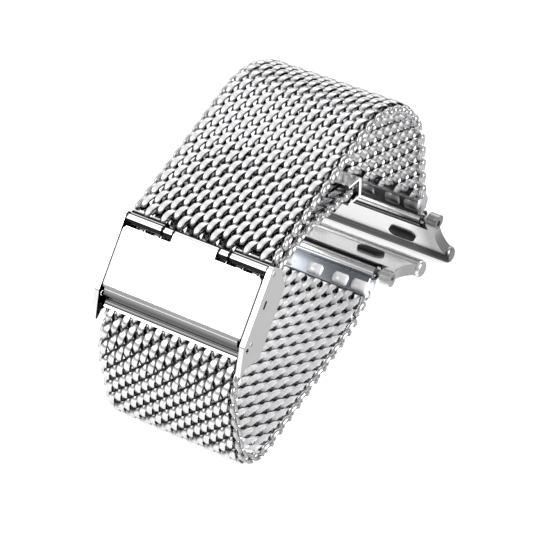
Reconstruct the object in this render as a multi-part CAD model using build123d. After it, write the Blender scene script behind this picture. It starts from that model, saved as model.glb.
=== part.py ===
from build123d import *
import math
import os

# Woven steel mesh watch band, closed into a loop and standing as it does on a table.
# X runs along the hinge pins (the width of the band), Z is up, and the loop lies in the YZ plane.
# The loop stands on its bottom bend and on the bead of the upper adapter.
# Outlines are points (y, z) of a drawing whose origin lies under the centre of the bottom bend;
# the finished pieces are shifted so that the origin is the middle of the footprint.
# All lengths are millimetres.

# Woven band
upper_width = 20.0
width_step = 0.2              # how far the lower half stands in from each edge of the upper half
mesh_thickness = 2.0
row_pitch = 1.0               # from one row of spirals to the next, each row being one rib of the solid
row_groove_depth = 0.45
row_slope_share = 0.25        # of a row's pitch, for each flank of its rib
turn_pitch = 2.34             # from one turn of a spiral to the next, with one opening to a turn
opening_width = 0.5
opening_length = 0.4
opening_rows = 2              # rows from one line of openings to the next
row_gap = 0.3                 # free space between two runs of spirals, at the row they swivel on
layer_gap = 0.2               # between the upper half and the tail that lies under it

# Loop outline, as headings against the floor, lengths of the straight runs and bend radii
clasp_angle = 42.0
upper_angle = 10.7
back_angle = 5.5
floor_angle = 8.6
curl_angle = 37.8
tail_angle = 11.3
bottom_bend_radius = 5.0
front_height = 15.3
front_bend_radius = 8.0
hinge_run = 14.8              # from the front corner up the clasp line to the cover hinge
upper_run = 35.7
upper_bend_radius = 11.0
floor_run = 25.8
curl_run = 6.9
curl_bend_radius = 12.0
tail_bend_radius = 4.0
tail_upper_run = 7.4
tail_fall_radius = 15.0
tail_fall_run = 11.2

# Where the runs of spirals swivel on each other, measured from the start of each half
upper_swivel_runs = (12.0, 38.0)
lower_swivel_runs = (61.0, 70.0)

# Cover hinge
hinge_pin_radius = 0.35
hinge_tube_radius = 0.65
hinge_bore_clearance = 0.05
hinge_collar_length = 1.5
hinge_end_gap = 0.1
tube_web_thickness = 0.9
mesh_start = 1.1              # from the hinge pin to the first row of the upper half

# Clasp channel
channel_clearance = 0.15      # between the lower half and each clasp wall
band_drop = 2.3               # from the hinge pin down to the middle of the lower half
wall_thickness = 0.65
wall_top = 0.7
floor_thickness = 0.4
floor_clearance = 0.1
floor_start = 4.0
floor_end = 10.2
wall_shoulder = 9.2
wall_slope_length = 2.1
wall_slope_drop = 0.9
wall_tip = 13.1
wall_tip_drop = 1.75
wall_heel = 0.75
wall_corner_radius = 0.6
wall_tip_radius = 0.2
wall_foot_cut = 1.2
side_slot_place = 3.8
side_slot_depth = 0.56
side_slot_length = 1.1
side_slot_width = 0.4
side_slot_tilt = 20.0

# Clasp cover
cover_thickness = 0.5
cover_side_gap = 0.1
cover_edge = 0.95             # from the hinge pin to the edge beside the tongue
cover_corner_radius = 0.9
tongue_width = 6.2
roll_corner = 9.1
roll_radius = 1.9
roll_angle = 60.0
roll_start = 8.6
roll_inset = 0.45             # how much narrower the rolled end is, on each side
lip_depth = 0.92
lip_radius = 0.6
lip_length = 1.0
snap_place = 9.45
snap_depth = 0.25
snap_radius = 0.33
nub_radius = 0.25
nub_height = 0.08

# Locking gate under the cover
gate_pin_radius = 0.3
gate_pin_place = 8.55
gate_pin_depth = 0.7
gate_barrel_radius = 0.5
gate_bore_clearance = 0.05
gate_side_gap = 0.35
gate_thickness = 0.4
gate_top_depth = 0.1
gate_free_end = 1.9
bite_bar_place = 3.6
bite_bar_width = 0.8
bite_clearance = 0.1
bite_tooth_count = 24
bite_tooth_depth = 0.25

# Tail end cap
cap_thickness = 0.3
cap_length = 2.3
cap_nose = 0.5
cap_fit = 0.05

# Strap end fittings at the adapters
end_tube_radius = 1.05
end_tube_wall = 0.25
clamp_neck = 1.9              # from the bar axis to the inside of the clamp
clamp_wall = 0.35
clamp_cover_length = 1.7
clamp_neck_thickness = 1.2

# Spring bars
bar_radius = 0.75
bar_bore = 0.5
bar_inset = 0.2               # how far the bar stands in from each end of the end tube
bar_lip = 0.5
bar_lip_bore = 0.43
tip_radius = 0.4
tip_flange_radius = 0.47
tip_flange_length = 0.4
tip_length = 3.0
tip_reach = 0.75              # how far a tip stands inside its lug
tip_travel = 0.8
bar_spring_radius = 0.46
bar_spring_bore = 0.3
bar_spring_gap = 0.85

# Watch case adapters
lug_gap = 0.75                # between the end tube and each lug
lug_thickness = 1.5
lug_radius = 0.8
lug_horn = 0.4                # how far a lug runs on, away from the wrist, past its bore
lug_bore_clearance = 0.03
arm_length = 7.4              # from the bar axis to the middle of the bead
web_thickness = 1.5
web_gap = 0.25
bead_radius = 1.15
bead_overhang = 0.35          # how far the bead runs past each lug
bead_end_radius = 0.5
waist_inset = 0.75            # how far the side draws in between the lug and the bead
waist_place = 3.3
lower_arm_angle = -31.0
upper_arm_angle = -73.9
pad_length = 3.9
pad_width = 1.25
pad_place = 6.0
pad_centre = 4.6
pad_pocket_depth = 0.9
pad_recess = 0.15
pad_fit = 0.04
latch_length = 4.4
latch_width = 1.1
latch_fit = 0.05
latch_pocket_depth = 1.6
latch_stand_out = 0.45
latch_travel = 0.45
latch_height = 1.25
latch_spring_radius = 0.33
latch_spring_bore = 0.18
latch_spring_fit = 0.05
latch_spring_height = 0.9

overrun = 1.0                 # how far a cutting shape runs past what it cuts

# Worked out from the sizes above
full_turn = 360.0
half_turn = full_turn / 2
quarter_turn = full_turn / 4
mesh_half = mesh_thickness / 2
lower_width = upper_width - 2 * width_step
channel_half = lower_width / 2 + channel_clearance + cover_side_gap
cover_half = channel_half - cover_side_gap
wall_outer = channel_half + wall_thickness
collar_start = tongue_width / 2 + hinge_end_gap
tube_start = collar_start + hinge_collar_length + hinge_end_gap
cover_middle = wall_top - cover_thickness / 2
roll_end = roll_corner + (cover_middle + lip_depth) / math.tan(math.radians(roll_angle))
cover_length = roll_end + lip_length
floor_top = -(band_drop + mesh_half + floor_clearance)
floor_bottom = floor_top - floor_thickness
end_tube_length = lower_width
bar_length = end_tube_length - 2 * bar_inset
lug_inner = end_tube_length / 2 + lug_gap
lug_outer = lug_inner + lug_thickness
bead_half = lug_outer + bead_overhang
bead_length = 2 * bead_half


# Plane geometry

def step(point, heading, length):
    angle = math.radians(heading)
    return (point[0] + length * math.cos(angle), point[1] + length * math.sin(angle))


def crossing(first, first_heading, second, second_heading):
    a = math.radians(first_heading)
    b = math.radians(second_heading)
    dy = second[0] - first[0]
    dz = second[1] - first[1]
    reach = (dy * math.sin(b) - dz * math.cos(b)) / math.sin(b - a)
    return step(first, first_heading, reach)


def heading_between(first, second):
    return math.degrees(math.atan2(second[1] - first[1], second[0] - first[0]))


def run_between(first, second):
    return math.hypot(second[0] - first[0], second[1] - first[1])


# A path is a list of stretches (start point, heading, length, bend), bend being 1 / radius,
# positive to the left and zero on a straight run

def rounded_path(corners, radii):
    stretches = []
    place = corners[0]
    for index in range(1, len(corners)):
        corner = corners[index]
        heading = heading_between(place, corner)
        if index == len(corners) - 1:
            stretches.append((place, heading, run_between(place, corner), 0.0))
            break
        turn = heading_between(corner, corners[index + 1]) - heading
        turn = (turn + half_turn) % full_turn - half_turn
        radius = radii[index - 1]
        tangent = radius * math.tan(math.radians(abs(turn)) / 2)
        stretches.append((place, heading, run_between(place, corner) - tangent, 0.0))
        arc_start = step(corner, heading, -tangent)
        arc_length = radius * math.radians(abs(turn))
        stretches.append((arc_start, heading, arc_length, math.copysign(1 / radius, turn)))
        place = step(corner, heading + turn, tangent)
    return stretches


def path_length(path):
    return sum(stretch[2] for stretch in path)


def on_stretch(stretch, run, offset=0.0):
    start, heading, length, bend = stretch
    if bend == 0:
        point = step(start, heading, run)
        return step(point, heading + quarter_turn, offset), heading
    centre = step(start, heading + quarter_turn, 1 / bend)
    here = heading + math.degrees(run * bend)
    return step(centre, here - quarter_turn, 1 / bend - offset), here


def on_path(path, run, offset=0.0):
    for stretch in path[:-1]:
        if run <= stretch[2]:
            return on_stretch(stretch, run, offset)
        run -= stretch[2]
    return on_stretch(path[-1], run, offset)


def spot(point):
    return Vector(0, point[0], point[1])


def offset_edges(path, start, end, offset):
    edges = []
    passed = 0.0
    last = path[-1]
    for stretch in path:
        length = stretch[2]
        first = max(start - passed, 0.0)
        final = end - passed if stretch is last else min(end - passed, length)
        passed += length
        if final - first <= length * 1e-6:
            continue
        here = spot(on_stretch(stretch, first, offset)[0])
        there = spot(on_stretch(stretch, final, offset)[0])
        if stretch[3] == 0:
            edges.append(Edge.make_line(here, there))
        else:
            middle = spot(on_stretch(stretch, (first + final) / 2, offset)[0])
            edges.append(Edge.make_three_point_arc(here, middle, there))
    return edges


def rounded_face(corners, radii):
    # A closed outline with one rounding radius for each corner
    start = ((corners[0][0] + corners[-1][0]) / 2, (corners[0][1] + corners[-1][1]) / 2)
    path = rounded_path([start, *corners, start], radii)
    return Face(Wire(offset_edges(path, 0.0, path_length(path), 0.0)))


def strip(path, start, end, left, right, width):
    # A band of the given width in X that follows the path between two runs,
    # from the offset left of it to the offset right of it
    left_edges = offset_edges(path, start, end, left)
    right_edges = offset_edges(path, start, end, -right)
    caps = [
        Edge.make_line(left_edges[0] @ 0, right_edges[0] @ 0),
        Edge.make_line(left_edges[-1] @ 1, right_edges[-1] @ 1),
    ]
    outline = Wire(left_edges + right_edges + caps)
    return extrude(Face(outline), width / 2, dir=(1, 0, 0), both=True)


# Solids in a local frame with x along the pins, y forward and z outward

def seat(point, forward, outward):
    ahead = spot(step((0.0, 0.0), forward, 1))
    out = spot(step((0.0, 0.0), outward, 1))
    return Location(Plane(origin=spot(point), x_dir=ahead.cross(out), z_dir=out))


def block(x_range, y_range, z_range):
    size = [high - low for low, high in (x_range, y_range, z_range)]
    middle = [(low + high) / 2 for low, high in (x_range, y_range, z_range)]
    return Pos(*middle) * Box(*size)


def rod(radius, x_start, x_end, y=0.0, z=0.0):
    return Pos((x_start + x_end) / 2, y, z) * Rot(0, 90, 0) * Cylinder(radius, x_end - x_start)


def both_sides(shape):
    return [shape, mirror(shape, about=Plane.YZ)]


def left_to_right(shapes):
    return sorted(shapes, key=lambda shape: shape.center().X)


def oblong(length, width, z_low, z_high, x=0.0, y=0.0):
    face = SlotOverall(length, width)
    return Pos(x, y, z_low) * extrude(face, z_high - z_low)


# Loop outline

def lay_out_loop():
    # The back of the loop is as long as it must be for the bead of the upper adapter to touch the table
    half = mesh_half
    radius = bottom_bend_radius
    centre = (0.0, radius + half)
    front_foot = (-radius, 0.0)
    floor_touch = step(centre, floor_angle - quarter_turn, radius)
    bottom_corner = crossing(front_foot, quarter_turn, floor_touch, floor_angle)
    front_corner = (-radius, front_height)
    clasp_up = clasp_angle
    under_hinge = step(front_corner, clasp_up, hinge_run)
    hinge = step(under_hinge, clasp_up + quarter_turn, band_drop)
    tail_line = step(hinge, upper_angle - quarter_turn, mesh_thickness + layer_gap)
    tail_corner = crossing(front_corner, clasp_up, tail_line, upper_angle)
    tail_break = step(tail_corner, upper_angle, tail_upper_run)
    tail_end = step(tail_break, -tail_angle, tail_fall_run)
    floor_break = step(bottom_corner, floor_angle, floor_run)
    lower_bar = step(floor_break, curl_angle, curl_run)
    upper_corner = step(hinge, upper_angle, upper_run)
    back_heading = -quarter_turn - back_angle
    bar_height = bead_radius - arm_length * math.sin(math.radians(upper_arm_angle))
    back_run = (bar_height - upper_corner[1]) / math.sin(math.radians(back_heading))
    upper_bar = step(upper_corner, back_heading, back_run)
    lower_path = rounded_path(
        [tail_end, tail_break, tail_corner, front_corner, bottom_corner, floor_break, lower_bar],
        [tail_fall_radius, tail_bend_radius, front_bend_radius, radius, curl_bend_radius],
    )
    upper_path = rounded_path([hinge, upper_corner, upper_bar], [upper_bend_radius])
    return hinge, lower_bar, upper_bar, lower_path, upper_path


hinge_point, lower_bar_point, upper_bar_point, lower_path, upper_path = lay_out_loop()
lower_length = path_length(lower_path)
upper_length = path_length(upper_path)

upper_bead_point = step(upper_bar_point, upper_arm_angle, arm_length)
footprint_front = -(bottom_bend_radius + mesh_half)
footprint_back = upper_bead_point[0] + bead_radius
middle_shift = -(footprint_front + footprint_back) / 2

clasp_seat = seat(hinge_point, clasp_angle + half_turn, clasp_angle + quarter_turn)
upper_seat = seat(upper_bar_point, upper_arm_angle, upper_arm_angle + quarter_turn)
lower_seat = seat(lower_bar_point, lower_arm_angle, lower_arm_angle - quarter_turn)


# Woven halves, with a rib on both faces for each row of spirals

def ribbed_edges(path, start, end, side):
    count = round((end - start) / row_pitch)
    pitch = (end - start) / count
    foot = side * (mesh_half - row_groove_depth)
    points = []
    for row in range(count):
        run = start + row * pitch
        points.append(on_path(path, run, foot)[0])
        for share in (row_slope_share, 1 - row_slope_share):
            points.append(on_path(path, run + pitch * share, side * mesh_half)[0])
    points.append(on_path(path, end, foot)[0])
    return [Edge.make_line(spot(here), spot(there)) for here, there in zip(points, points[1:])]


def woven_run(path, start, end, width):
    left_edges = ribbed_edges(path, start, end, 1)
    right_edges = ribbed_edges(path, start, end, -1)
    caps = [
        Edge.make_line(left_edges[0] @ 0, right_edges[0] @ 0),
        Edge.make_line(left_edges[-1] @ 1, right_edges[-1] @ 1),
    ]
    outline = Wire(left_edges + right_edges + caps)
    return extrude(Face(outline), width / 2, dir=(1, 0, 0), both=True)


def openings(path, start, end, width):
    rows = round((end - start) / row_pitch)
    turns = round(width / turn_pitch)
    size = (opening_width, opening_length, 2 * mesh_thickness)
    cutters = []
    for row in range(opening_rows, rows, opening_rows):
        middle, heading = on_path(path, start + (end - start) * row / rows)
        for turn in range(turns):
            x = (turn + 1 / 2) * width / turns - width / 2
            cutters.append(Pos(x, *middle) * Rot(heading, 0, 0) * Box(*size))
    return cutters


def make_upper_mesh():
    first, second = upper_swivel_runs
    end = upper_length - clamp_neck
    half_gap = row_gap / 2
    runs = {
        "upper_mesh_front": (mesh_start, first - half_gap),
        "upper_mesh_bend": (first + half_gap, second - half_gap),
        "upper_mesh_back": (second + half_gap, end),
    }
    return {
        name: woven_run(upper_path, start, stop, upper_width)
        - openings(upper_path, start, stop, upper_width)
        for name, (start, stop) in runs.items()
    }


def make_lower_mesh():
    first, second = lower_swivel_runs
    end = lower_length - clamp_neck
    half_gap = row_gap / 2
    runs = {
        "lower_mesh_front": (0.0, first - half_gap),
        "lower_mesh_middle": (first + half_gap, second - half_gap),
        "lower_mesh_back": (second + half_gap, end),
    }
    return {
        name: woven_run(lower_path, start, stop, lower_width)
        - openings(lower_path, start, stop, lower_width)
        for name, (start, stop) in runs.items()
    }


def make_tail_cap():
    inner = mesh_half + cap_fit
    outer = inner + cap_thickness
    nose = step(on_path(lower_path, 0.0)[0], on_path(lower_path, 0.0)[1], -cap_nose)
    shell_path = rounded_path([nose, on_path(lower_path, cap_length)[0]], [])
    shell = strip(shell_path, 0.0, path_length(shell_path), outer, outer, lower_width)
    end_face = shell.faces().sort_by(Axis.Y)[-1]
    nose_edges = end_face.edges().filter_by(Axis.X)
    shell = fillet(nose_edges, (cap_nose + cap_thickness) / 2)
    pocket = strip(lower_path, 0.0, cap_length + overrun, inner, inner, lower_width + overrun)
    return shell - pocket


# Cover hinge

def make_hinge_tubes():
    bore = hinge_pin_radius + hinge_bore_clearance
    outer_end = cover_half - hinge_end_gap
    inner_end = tube_start
    tube = rod(hinge_tube_radius, inner_end, outer_end)
    web_half = tube_web_thickness / 2
    web = block((inner_end, outer_end), (0.0, mesh_start), (-web_half, web_half))
    tube = tube + web - rod(bore, inner_end - overrun, outer_end + overrun)
    place = seat(hinge_point, upper_angle, upper_angle + quarter_turn)
    right, left = both_sides(tube)
    return {"hinge_tube_right": right.moved(place), "hinge_tube_left": left.moved(place)}


def make_hinge_collars():
    bore = hinge_pin_radius + hinge_bore_clearance / 2
    collar_end = collar_start + hinge_collar_length
    collar = rod(hinge_tube_radius, collar_start, collar_end)
    collar = collar - rod(bore, collar_start - overrun, collar_end + overrun)
    return Compound(children=[side.moved(clasp_seat) for side in both_sides(collar)])


def make_hinge_pin():
    reach = wall_outer - hinge_end_gap
    return rod(hinge_pin_radius, -reach, reach).moved(clasp_seat)


# Clasp

def wall_outline():
    points = [
        (-wall_heel, wall_top),
        (wall_shoulder, wall_top),
        (wall_shoulder + wall_slope_length, wall_top - wall_slope_drop),
        (wall_tip, wall_top - wall_tip_drop),
        (floor_end + wall_foot_cut, floor_bottom + 2 * wall_foot_cut),
        (floor_end, floor_bottom),
        (wall_foot_cut, floor_bottom),
        (-wall_heel, floor_bottom + 2 * wall_foot_cut),
    ]
    radii = [wall_corner_radius] * len(points)
    radii[3] = wall_tip_radius
    return rounded_face(points, radii)


def make_clasp_base():
    wall = extrude(wall_outline(), wall_thickness, dir=(1, 0, 0)).moved(Pos(channel_half, 0, 0))
    wall_span = (channel_half - overrun, wall_outer + overrun)
    wall -= rod(hinge_pin_radius + hinge_bore_clearance / 2, *wall_span)
    wall -= rod(gate_pin_radius + gate_bore_clearance / 2, *wall_span, gate_pin_place, -gate_pin_depth)
    wall -= rod(snap_radius, *wall_span, snap_place, -snap_depth)
    slot = extrude(SlotOverall(side_slot_length, side_slot_width), wall_thickness + 2 * overrun)
    slot = Pos(wall_span[0], side_slot_place, -side_slot_depth) * Rot(0, 90, 0) * Rot(0, 0, 90) * slot
    wall -= slot
    floor = block((-wall_outer, wall_outer), (floor_start, floor_end), (floor_bottom, floor_top))
    base = floor
    for side in both_sides(wall):
        base = base + side
    return base.moved(clasp_seat)


def make_clasp_cover():
    path = rounded_path(
        [(0.0, cover_middle), (roll_corner, cover_middle), (roll_end, -lip_depth), (cover_length, -lip_depth)],
        [roll_radius, lip_radius],
    )
    sheet_half = cover_thickness / 2
    sheet = strip(path, 0.0, path_length(path), sheet_half, sheet_half, 2 * cover_half)
    plate = Rectangle(2 * cover_half, roll_start - cover_edge)
    top_corners = plate.vertices().group_by(Axis.Y)[0]
    plate = fillet(top_corners, cover_corner_radius)
    plate = Pos(0, (cover_edge + roll_start) / 2, 0) * plate
    roll = Rectangle(2 * (cover_half - roll_inset), cover_length + overrun - cover_edge)
    plate += Pos(0, (cover_edge + cover_length + overrun) / 2, 0) * roll
    tongue = Pos(0, cover_edge / 2 + cover_corner_radius / 2, 0) * Rectangle(
        tongue_width, cover_edge + cover_corner_radius)
    plan = Pos(0, 0, -cover_length) * extrude(plate + tongue, 2 * cover_length)
    cover = sheet & plan
    tongue_half = tongue_width / 2
    cover += rod(hinge_tube_radius, -tongue_half, tongue_half)
    nub_root = cover_half - 2 * roll_inset
    nub = rod(nub_radius, nub_root, cover_half + nub_height, snap_place, -snap_depth)
    for side in both_sides(nub):
        cover += side
    bore = hinge_pin_radius + hinge_bore_clearance
    cover -= rod(bore, -tongue_half - overrun, tongue_half + overrun)
    return cover.moved(clasp_seat)


def make_lock_gate():
    half = channel_half - gate_side_gap
    top = -gate_top_depth
    bottom = top - gate_thickness
    gate = block((-half, half), (gate_free_end, gate_pin_place), (bottom, top))
    gate += rod(gate_barrel_radius, -half, half, gate_pin_place, -gate_pin_depth)
    bar_foot = -(band_drop - mesh_half - bite_clearance)
    bar = (bite_bar_place - bite_bar_width / 2, bite_bar_place + bite_bar_width / 2)
    gate += block((-half, half), bar, (bar_foot, bottom))
    pitch = 2 * half / bite_tooth_count
    notch = block(
        (-pitch / 4, pitch / 4), (bar[0] - overrun, bar[1] + overrun),
        (bar_foot - overrun, bar_foot + bite_tooth_depth))
    for tooth in range(bite_tooth_count):
        gate -= Pos((tooth + 0.5) * pitch - half, 0, 0) * notch
    bore = gate_pin_radius + gate_bore_clearance
    gate -= rod(bore, -half - overrun, half + overrun, gate_pin_place, -gate_pin_depth)
    return gate.moved(clasp_seat)


def make_gate_pin():
    reach = wall_outer - hinge_end_gap
    return rod(gate_pin_radius, -reach, reach, gate_pin_place, -gate_pin_depth).moved(clasp_seat)


# Strap end fittings, on the bar axis with y pointing back along the band

def make_end_fitting(path, width):
    length = path_length(path)
    bar, heading = on_path(path, length)
    place = seat(bar, heading + half_turn, heading + quarter_turn)
    half = end_tube_length / 2
    tube = rod(end_tube_radius, -half, half)
    tube -= rod(end_tube_radius - end_tube_wall, -half - overrun, half + overrun)
    inner = mesh_half + cap_fit
    outer = inner + clamp_wall
    clamp_end = clamp_neck + clamp_cover_length
    side = width / 2
    shell = block((-side, side), (clamp_neck - clamp_wall, clamp_end), (-outer, outer))
    shell = fillet(shell.edges().filter_by(Axis.X), clamp_wall / 2)
    shell -= block((-side - overrun, side + overrun), (clamp_neck, clamp_end + overrun), (-inner, inner))
    neck_half = clamp_neck_thickness / 2
    neck = block((-side, side), (0.0, clamp_neck - clamp_wall), (-neck_half, neck_half))
    neck -= rod(end_tube_radius, -half - overrun, half + overrun)
    return tube.moved(place), (shell + neck).moved(place)


# Spring bar, with its middle on the bar axis

def make_bar(place):
    half = bar_length / 2
    tube = rod(bar_radius, -half, half)
    tube -= rod(bar_bore, -half + bar_lip, half - bar_lip)
    tube -= rod(bar_lip_bore, -half - overrun, half + overrun)
    tip_end = lug_inner + tip_reach
    tip_start = tip_end - tip_length
    tip = rod(tip_radius, tip_start, tip_end)
    tip += rod(tip_flange_radius, tip_start, tip_start + tip_flange_length)
    end_rim = tip.faces().sort_by(Axis.X)[-1].edges()
    tip = fillet(end_rim, tip_radius / 3)
    reach = tip_start - bar_spring_gap
    spring = rod(bar_spring_radius, -reach, reach) - rod(bar_spring_bore, -half, half)
    tips = left_to_right([side.moved(place) for side in both_sides(tip)])
    return tube.moved(place), tips, spring.moved(place)


# Watch case adapter, on the bar axis with y towards the bead and z away from the wrist

def adapter_plan():
    # Right half of the plate, drawn in at the waist between the lug and the bead
    top = end_tube_radius + web_gap
    corners = [(0, arm_length), (0, top), (lug_inner, top), (lug_inner, 0), (lug_outer, 0)]
    edges = [Edge.make_line(here, there) for here, there in zip(corners, corners[1:])]
    waist = (lug_outer - waist_inset, waist_place)
    foot = (bead_half, arm_length)
    edges.append(Edge.make_three_point_arc(corners[-1], waist, foot))
    edges.append(Edge.make_line(foot, corners[0]))
    return Face(Wire(edges))


def make_adapter(place):
    half = web_thickness / 2
    right = extrude(adapter_plan(), half, dir=(0, 0, 1), both=True)
    right += rod(lug_radius, lug_inner, lug_outer)
    right += rod(lug_radius, lug_inner, lug_outer, 0.0, lug_horn)
    right += block((lug_inner, lug_outer), (-lug_radius, lug_radius), (0.0, lug_horn))
    bead = rod(bead_radius, -bead_half, bead_half, arm_length)
    rims = bead.edges().filter_by(GeomType.CIRCLE)
    frame = fillet(rims, bead_end_radius)
    for side in both_sides(right):
        frame += side
    tip_bore = rod(tip_radius + lug_bore_clearance, -lug_outer - overrun, lug_outer + overrun)
    frame -= tip_bore
    for side in (-pad_place, pad_place):
        frame -= oblong(pad_length, pad_width, -half - overrun, -half + pad_pocket_depth, side, pad_centre)
    latch_floor = bead_radius - latch_pocket_depth
    frame -= oblong(
        latch_length + 2 * latch_fit, latch_width + 2 * latch_fit,
        latch_floor, bead_radius + overrun, 0.0, arm_length)
    pad = oblong(
        pad_length - 2 * pad_fit, pad_width - 2 * pad_fit,
        -half + pad_recess, -half + pad_pocket_depth, 0.0, pad_centre)
    pads = [(Pos(side, 0, 0) * pad).moved(place) for side in (-pad_place, pad_place)]
    latch_top = bead_radius + latch_stand_out
    latch_foot = latch_top - latch_height
    button = oblong(latch_length, latch_width, latch_foot, latch_top, 0.0, arm_length)
    button = fillet(button.faces().sort_by(Axis.Z)[-1].edges(), latch_stand_out / 2)
    spring_bore = latch_spring_radius + latch_spring_fit
    bore_top = latch_floor + latch_spring_height + latch_travel + latch_spring_fit
    button -= Pos(0, arm_length, (latch_foot - overrun + bore_top) / 2) * Cylinder(
        spring_bore, bore_top - latch_foot + overrun)
    spring = Cylinder(latch_spring_radius, latch_spring_height)
    spring -= Cylinder(latch_spring_bore, latch_spring_height + overrun)
    spring = Pos(0, arm_length, latch_floor + latch_spring_height / 2) * spring
    return frame.moved(place), left_to_right(pads), button.moved(place), spring.moved(place)


def make_parts():
    parts = {}
    parts.update(make_upper_mesh())
    parts.update(make_lower_mesh())
    parts.update(make_hinge_tubes())
    parts["tail_end_cap"] = make_tail_cap()
    parts["hinge_collars"] = make_hinge_collars()
    parts["hinge_pin"] = make_hinge_pin()
    parts["clasp_base"] = make_clasp_base()
    parts["clasp_cover"] = make_clasp_cover()
    parts["lock_gate"] = make_lock_gate()
    parts["gate_pin"] = make_gate_pin()
    halves = (
        ("upper", upper_path, upper_width, upper_seat),
        ("lower", lower_path, lower_width, lower_seat),
    )
    for name, path, width, place in halves:
        tube, clamp = make_end_fitting(path, width)
        parts[name + "_end_tube"] = tube
        parts[name + "_end_clamp"] = clamp
        bar_tube, tips, spring = make_bar(place)
        parts[name + "_bar_tube"] = bar_tube
        parts[name + "_bar_tip_left"] = tips[0]
        parts[name + "_bar_tip_right"] = tips[1]
        parts[name + "_bar_spring"] = spring
        frame, pads, button, latch_spring = make_adapter(place)
        parts[name + "_adapter_frame"] = frame
        parts[name + "_pad_left"] = pads[0]
        parts[name + "_pad_right"] = pads[1]
        parts[name + "_latch_button"] = button
        parts[name + "_latch_spring"] = latch_spring
    return parts


def main():
    os.makedirs("parts", exist_ok=True)
    shift = Pos(0, middle_shift, 0)
    for name, shape in make_parts().items():
        export_step(shift * shape, "parts/" + name + ".step")
    print("upper half", round(upper_length, 2), "lower half", round(lower_length, 2))


if __name__ == "__main__":
    main()
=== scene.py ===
# Woven steel mesh band with a fold-over clasp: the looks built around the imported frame
import bpy
import math
from mathutils import Matrix, Vector


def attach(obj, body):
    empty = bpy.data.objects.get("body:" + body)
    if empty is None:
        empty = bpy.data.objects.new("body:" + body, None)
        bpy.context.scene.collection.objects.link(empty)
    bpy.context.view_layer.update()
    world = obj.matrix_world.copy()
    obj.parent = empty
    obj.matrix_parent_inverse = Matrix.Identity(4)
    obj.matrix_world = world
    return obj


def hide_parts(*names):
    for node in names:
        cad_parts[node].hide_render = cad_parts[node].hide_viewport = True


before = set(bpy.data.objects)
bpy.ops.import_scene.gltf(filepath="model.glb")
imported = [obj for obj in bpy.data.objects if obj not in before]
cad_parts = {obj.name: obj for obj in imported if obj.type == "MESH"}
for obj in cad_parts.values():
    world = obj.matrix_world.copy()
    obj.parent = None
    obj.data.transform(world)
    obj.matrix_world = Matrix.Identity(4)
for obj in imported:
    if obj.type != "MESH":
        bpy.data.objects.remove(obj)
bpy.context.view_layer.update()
print("frame loaded:", len(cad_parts), "nodes")

mm = 0.001
mergeWithin = 0.001 * mm     # points closer than this are one
nearly = 0.01 * mm           # how exactly points are picked by their place

# Small helpers, used by every piece

def deselectAll():
    if bpy.context.object and bpy.context.object.mode != "OBJECT":
        bpy.ops.object.mode_set(mode="OBJECT")
    bpy.ops.object.select_all(action="DESELECT")


def makeActive(piece):
    deselectAll()
    piece.select_set(True)
    bpy.context.view_layer.objects.active = piece


def startEditing(piece, mode="VERT"):
    makeActive(piece)
    bpy.ops.object.mode_set(mode="EDIT")
    bpy.ops.mesh.select_mode(type=mode)
    bpy.ops.mesh.select_all(action="DESELECT")


def stopEditing():
    bpy.ops.object.mode_set(mode="OBJECT")


def pickVertices(piece, wanted):
    # Selects by place, and leaves the piece in edit mode
    bpy.ops.mesh.select_all(action="DESELECT")
    bpy.ops.object.mode_set(mode="OBJECT")
    for vertex in piece.data.vertices:
        vertex.select = wanted(vertex.co)
    bpy.ops.object.mode_set(mode="EDIT")


def applyModifiers(piece):
    makeActive(piece)
    for modifier in list(piece.modifiers):
        bpy.ops.object.modifier_apply(modifier=modifier.name)


def placeInMesh(piece):
    makeActive(piece)
    bpy.ops.object.transform_apply(location=True, rotation=True, scale=True)


def faceOutwards(piece):
    startEditing(piece)
    bpy.ops.mesh.select_all(action="SELECT")
    bpy.ops.mesh.remove_doubles(threshold=mergeWithin)
    bpy.ops.mesh.normals_make_consistent(inside=False)
    stopEditing()


def smooth(piece, degrees=35):
    makeActive(piece)
    bpy.ops.object.shade_smooth_by_angle(angle=math.radians(degrees))


def copyOf(piece, place):
    twin = piece.copy()
    twin.data = piece.data.copy()
    twin.data.transform(place)
    bpy.context.scene.collection.objects.link(twin)
    return twin


def joinAs(name, pieces):
    deselectAll()
    for piece in pieces:
        piece.select_set(True)
    bpy.context.view_layer.objects.active = pieces[0]
    bpy.ops.object.join()
    joined = bpy.context.object
    joined.name = name
    joined.data.name = name
    return joined


def remove(piece):
    bpy.data.objects.remove(piece, do_unlink=True)


# Finishes: steel with painted shade, darker by place and direction, as if it mirrored a room with a dark side

def newFinish(name, colour, metallic, roughness):
    finish = bpy.data.materials.new(name)
    finish.use_nodes = True
    shader = finish.node_tree.nodes["Principled BSDF"]
    shader.inputs["Base Color"].default_value = (*colour, 1)
    shader.inputs["Metallic"].default_value = metallic
    shader.inputs["Roughness"].default_value = roughness
    return finish, finish.node_tree.nodes, finish.node_tree.links, shader


def wornNoise(nodes, links, scale, detail=4.0, stretch=(1, 1, 1)):
    place = nodes.new("ShaderNodeTexCoord")
    mapping = nodes.new("ShaderNodeMapping")
    mapping.inputs["Scale"].default_value = stretch
    noise = nodes.new("ShaderNodeTexNoise")
    noise.inputs["Scale"].default_value = scale
    noise.inputs["Detail"].default_value = detail
    links.new(place.outputs["Object"], mapping.inputs["Vector"])
    links.new(mapping.outputs["Vector"], noise.inputs["Vector"])
    return noise.outputs["Fac"]


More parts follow.
